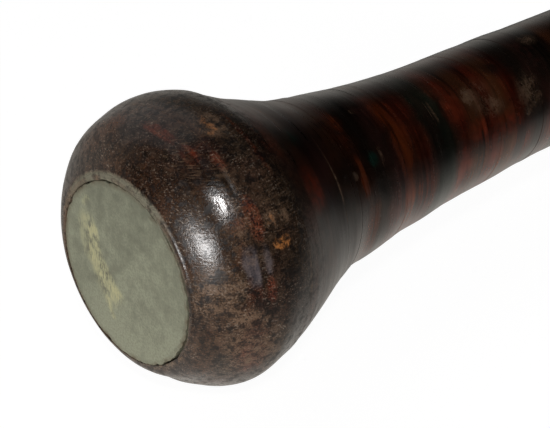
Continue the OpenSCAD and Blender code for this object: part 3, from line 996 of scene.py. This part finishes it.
def disc_piece(context, node, radius, x, toward, shift, scrapes):
    """A disc spun from its section, slightly dished and uneven, with scrapes in its face."""
    scene = context.scene
    thick, bevel = scene.bat_discs.disc_t, scene.bat_discs.disc_bevel
    bm = bmesh.new()
    scraped = bm.verts.layers.float.new("scraped")
    dirt = bm.verts.layers.float.new("edge_dirt")
    verts = [bm.verts.new((x + toward * depth, 0, r)) for depth, r in disc_section(radius, thick, bevel)]
    edges = [bm.edges.new(pair) for pair in zip(verts, verts[1:])]
    full_turn(bm, verts + edges, DISC_TURNS)
    for v in bm.verts:
        r = math.hypot(v.co.y, v.co.z)
        depth = (v.co.x - x) * toward
        around = Vector((0, v.co.y, v.co.z))
        if r > radius - MM and depth < 0.9 * thick:
            u = around.normalized()
            gape = 0.42 * rise(-u.y, 0.3, 0.8) - 0.04
            v.co -= u * max(0.0, 0.34 * noise.noise(u * 9) + 0.26 * noise.noise(u * 23) + gape) * MM
        if depth < bevel:
            dish = 0.05 + 0.05 * (1 - (r / radius) ** 2)
            lumps = 0.03 * noise.noise(v.co * 150) + 0.012 * noise.noise(v.co * 700)
            v.co.x += toward * MM * (dish + lumps)
        v[dirt] = 1.0
        if depth >= 0.5 * thick:
            continue
        v[dirt] = rise(r, radius - 1.1 * MM, radius)
        for (y0, z0), (y1, z1), half, deep, strength in scrapes:
            a, b = Vector((0, y0, z0)) * MM, Vector((0, y1, z1)) * MM
            run = b - a
            part = min(1.0, max(0.0, (around - a).dot(run) / run.length_squared))
            left = 1 - ((around - a - run * part).length / (half * MM)) ** 2
            if left > 0:
                v[scraped] = min(1.0, v[scraped] + strength * left)
                v.co.x += toward * deep * MM * left * (0.6 + noise.noise(v.co * 900))
    bmesh.ops.translate(bm, verts=bm.verts, vec=shift)
    bmesh.ops.recalc_face_normals(bm, faces=bm.faces)
    material = finish("tarnished_metal", tarnished_metal, scene)
    new_piece(context, f"metal_{node}", bm, material, node)


class BAT_OT_single_washers(bpy.types.Operator):
    """Turn the leather washers of the knob, the flare and the start of the handle"""

    bl_idname = "bat.single_washers"
    bl_label = "Single washers"

    def execute(self, context):
        stack, i = Stack(context.scene), 0
        for name, count, step, turns in SINGLES:
            for k in range(count):
                slot = f"leather_{HIDES[stack.hide(i)]}"
                leather_piece(context, f"{name}{k + 1}", [i], slot, step, turns)
                i += 1
        return {"FINISHED"}


class BAT_OT_washer_packs(bpy.types.Operator):
    """Turn the packs of leather washers from the handle to the barrel's end"""

    bl_idname = "bat.washer_packs"
    bl_label = "Washer packs"

    def execute(self, context):
        for name, first, end in Stack(context.scene).packs():
            leather_piece(context, name, range(first, end), "leather_mixed", *PACK_MESH)
        return {"FINISHED"}


class BAT_OT_end_discs(bpy.types.Operator):
    """Let a metal disc into each end face"""

    bl_idname = "bat.end_discs"
    bl_label = "End discs"

    def execute(self, context):
        stack, fit = Stack(context.scene), context.scene.bat_discs.disc_fit
        knob_r, barrel_r = stack.knob_recess_r - fit, stack.barrel_recess_r - fit
        disc_piece(context, "knob_disc", knob_r, 0.0, 1, stack.knob_shift, KNOB_SCRAPES)
        disc_piece(context, "barrel_disc", barrel_r, stack.length, -1, Vector(), BARREL_SCRAPES)
        return {"FINISHED"}


class BAT_OT_clamp_steel(bpy.types.Operator):
    """Give the rod, nuts and thrust washers their steel"""

    bl_idname = "bat.clamp_steel"
    bl_label = "Rod and nuts"

    def execute(self, context):
        for node in INNER_STEEL:
            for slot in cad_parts[node].material_slots:
                slot.material = finish("turned_steel", turned_steel, context.scene)
        return {"FINISHED"}


def add_floor(context):
    """A wide floor under the knob and the barrel, which the bat lies on, swept up into a wall all round."""
    scene = context.scene
    stack = Stack(scene)
    sink, reach, sweep, wall = 0.2 * MM, 6.0, 3.0, 6.0
    fall = (stack.barrel_r - stack.knob_r) / (stack.taper_end - stack.knob_crest)
    bends = [math.radians(15 * k) for k in range(7)]
    section = [(0, 0)] + [(reach + sweep * math.sin(a), sweep * (1 - math.cos(a))) for a in bends]
    section.append((reach + sweep, sweep + wall))
    bm = bmesh.new()
    verts = [bm.verts.new((r, 0, z)) for r, z in section]
    edges = [bm.edges.new(pair) for pair in zip(verts, verts[1:])]
    bmesh.ops.spin(
        bm, geom=verts + edges, cent=(0, 0, 0), axis=(0, 0, 1), angle=2 * math.pi, steps=64, use_merge=True
    )
    bmesh.ops.remove_doubles(bm, verts=bm.verts, dist=WELD)
    for v in bm.verts:
        v.co.z -= stack.knob_r + sink + fall * (v.co.x - stack.knob_crest)
    mesh = bpy.data.meshes.new("floor")
    bm.to_mesh(mesh)
    bm.free()
    mesh.materials.append(finish("pale_floor", pale_floor, scene))
    floor = bpy.data.objects.new("floor", mesh)
    scene.collection.objects.link(floor)


def add_lamp(context, name, aim, direction, distance, size, watts, beam=180):
    """A soft rectangular lamp that faces a point from a direction, with the angle of its beam in degrees."""
    lamp = bpy.data.lights.new(name, "AREA")
    lamp.shape, lamp.size, lamp.size_y, lamp.energy = "RECTANGLE", size[0], size[1], watts
    lamp.spread = math.radians(beam)
    holder = bpy.data.objects.new(name, lamp)
    way = Vector(direction).normalized()
    holder.location = Vector(aim) + way * distance
    holder.rotation_euler = way.to_track_quat("Z", "Y").to_euler()
    context.scene.collection.objects.link(holder)


def add_camera(context):
    """The camera, at the angle from which the knob's face and the handle are both seen."""
    view = bpy.data.cameras.new("camera")
    view.sensor_fit, view.sensor_width, view.lens = "HORIZONTAL", SENSOR, context.scene.bat_stage.lens / MM
    view.clip_start, view.clip_end = 0.01, 200.0
    camera = bpy.data.objects.new("camera", view)
    camera.location = EYE
    camera.rotation_euler = (AIM - EYE).to_track_quat("-Z", "Y").to_euler()
    context.scene.collection.objects.link(camera)
    context.scene.camera = camera


class BAT_OT_studio(bpy.types.Operator):
    """Set up the floor, the lamps, the dim room and the camera"""

    bl_idname = "bat.studio"
    bl_label = "Studio"

    def execute(self, context):
        scene, stage = context.scene, context.scene.bat_stage
        add_floor(context)
        knob, handle, barrel = (0.008, 0.0, 0.0), (0.1, 0.0, 0.0), (0.64, 0.0, 0.0)
        add_lamp(context, "softbox", knob, (-0.93, -0.345, 0.125), 1.0, (0.40, 0.20), stage.softbox)
        add_lamp(context, "small_lamp", knob, (-0.43, -0.57, 0.70), 0.9, (0.07, 0.07), stage.headlight)
        add_lamp(context, "back_lamp", handle, (-0.10, 0.62, 0.78), 1.6, (1.8, 1.8), stage.back_light)
        add_lamp(context, "barrel_lamp", barrel, (0.0, 0.12, 1.0), 0.9, (0.36, 0.7), stage.barrel_light, 40)
        world = bpy.data.worlds.new("dim_room")
        world.use_nodes = True
        world.node_tree.nodes["Background"].inputs["Color"].default_value = rgba(stage.room)
        scene.world = world
        add_camera(context)
        scene.view_settings.view_transform = "Standard"
        return {"FINISHED"}


GROUPS = (
    ("bat_outline", BatOutline), ("bat_hides", BatHides), ("bat_wear", BatWear),
    ("bat_discs", BatDiscs), ("bat_core", BatCore), ("bat_stage", BatStage),
)
OPERATORS = (
    BAT_OT_single_washers, BAT_OT_washer_packs, BAT_OT_end_discs, BAT_OT_clamp_steel, BAT_OT_studio,
)


class BAT_PT_sidebar(bpy.types.Panel):
    """Sizes, colours and steps of the bat"""

    bl_idname = "BAT_PT_sidebar"
    bl_label = "Stacked leather bat"
    bl_space_type = "VIEW_3D"
    bl_region_type = "UI"
    bl_category = "Bat"

    def draw(self, context):
        for name, group in GROUPS:
            box = self.layout.box()
            box.label(text=group.__doc__)
            for key in group.__annotations__:
                box.prop(getattr(context.scene, name), key)
        for operator in OPERATORS:
            self.layout.operator(operator.bl_idname)


def register():
    for name, group in GROUPS:
        bpy.utils.register_class(group)
        setattr(bpy.types.Scene, name, bpy.props.PointerProperty(type=group))
    for cls in OPERATORS + (BAT_PT_sidebar,):
        bpy.utils.register_class(cls)


def unregister():
    for cls in (BAT_PT_sidebar,) + OPERATORS[::-1]:
        bpy.utils.unregister_class(cls)
    for name, group in GROUPS[::-1]:
        delattr(bpy.types.Scene, name)
        bpy.utils.unregister_class(group)


def main():
    register()
    bpy.ops.bat.single_washers()
    bpy.ops.bat.washer_packs()
    bpy.ops.bat.end_discs()
    bpy.ops.bat.clamp_steel()
    bpy.ops.bat.studio()


if __name__ == "__main__":
    main()
